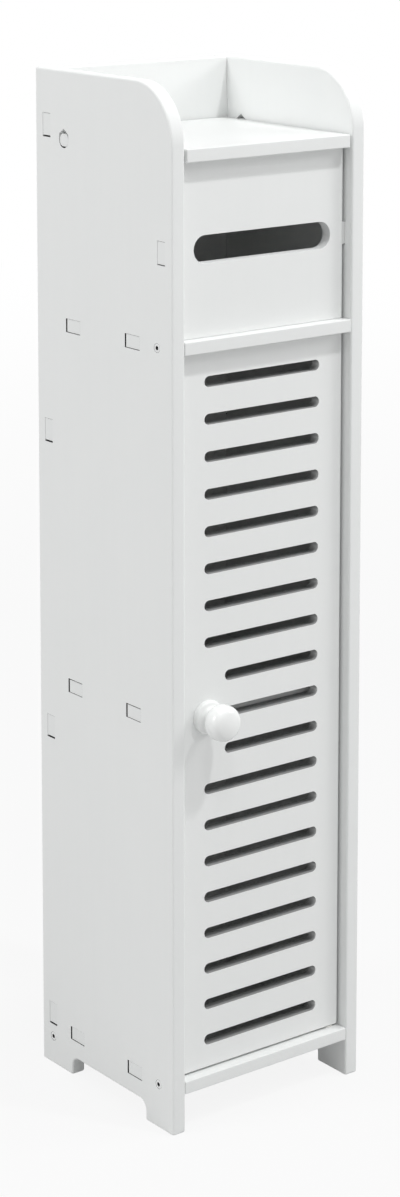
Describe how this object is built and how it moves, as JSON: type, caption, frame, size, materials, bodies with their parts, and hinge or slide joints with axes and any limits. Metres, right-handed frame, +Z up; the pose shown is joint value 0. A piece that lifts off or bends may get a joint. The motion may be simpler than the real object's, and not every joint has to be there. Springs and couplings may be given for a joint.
{
  "type": "toilet roll storage cabinet",
  "caption": "Slim upright bathroom cabinet of white boards with a slotted hinged door, a round knob and a lift-up lid over a compartment with a dispensing slot.",
  "frame": {"origin": "on the floor, in the middle of the rectangle that the cabinet and its knob take up", "axes": "+Z up, +X to the right of someone facing the door, +Y towards the back"},
  "size_m": [0.183, 0.1944, 0.8],
  "materials": {
    "white_board": "satin foamed board",
    "white_steel": "white coated screw",
    "white_nylon": "moulded",
    "zinc_steel": "zinc plated",
    "magnet": "sintered ferrite",
    "brass": "turned",
    "gloss_knob": "polished moulding"
  },
  "bodies": {
    "cabinet": {"left_side_panel": "white_board", "right_side_panel": "white_board", "back_panel": "white_board", "bottom_shelf": "white_board", "inner_shelf": "white_board", "middle_shelf": "white_board", "slot_panel": "white_board", "left_panel_screws": "white_steel", "right_panel_screws": "white_steel", "upper_pin_bush": "white_nylon", "lower_pin_bush": "white_nylon", "catch_housing": "white_nylon", "catch_magnet": "magnet", "catch_pole_plates": "zinc_steel", "catch_screws": "zinc_steel"},
    "lid": {"lid_board": "white_board"},
    "door": {"door_panel": "white_board", "upper_door_pin": "zinc_steel", "lower_door_pin": "zinc_steel", "knob": "gloss_knob", "knob_insert": "brass", "knob_screw": "zinc_steel", "strike_plate": "zinc_steel", "strike_screws": "zinc_steel"}
  },
  "joints": [
    {"name": "door_swing", "type": "hinge", "parent": "cabinet", "child": "door", "pos_m": [0.0705, -0.06375, 0.32], "axis": [0, 0, 1], "range_deg": [0, 107]},
    {"name": "lid_lift", "type": "hinge", "parent": "cabinet", "child": "lid", "pos_m": [0, 0.05945, 0.747], "axis": [-1, 0, 0], "range_deg": [0, 103]}
  ]
}
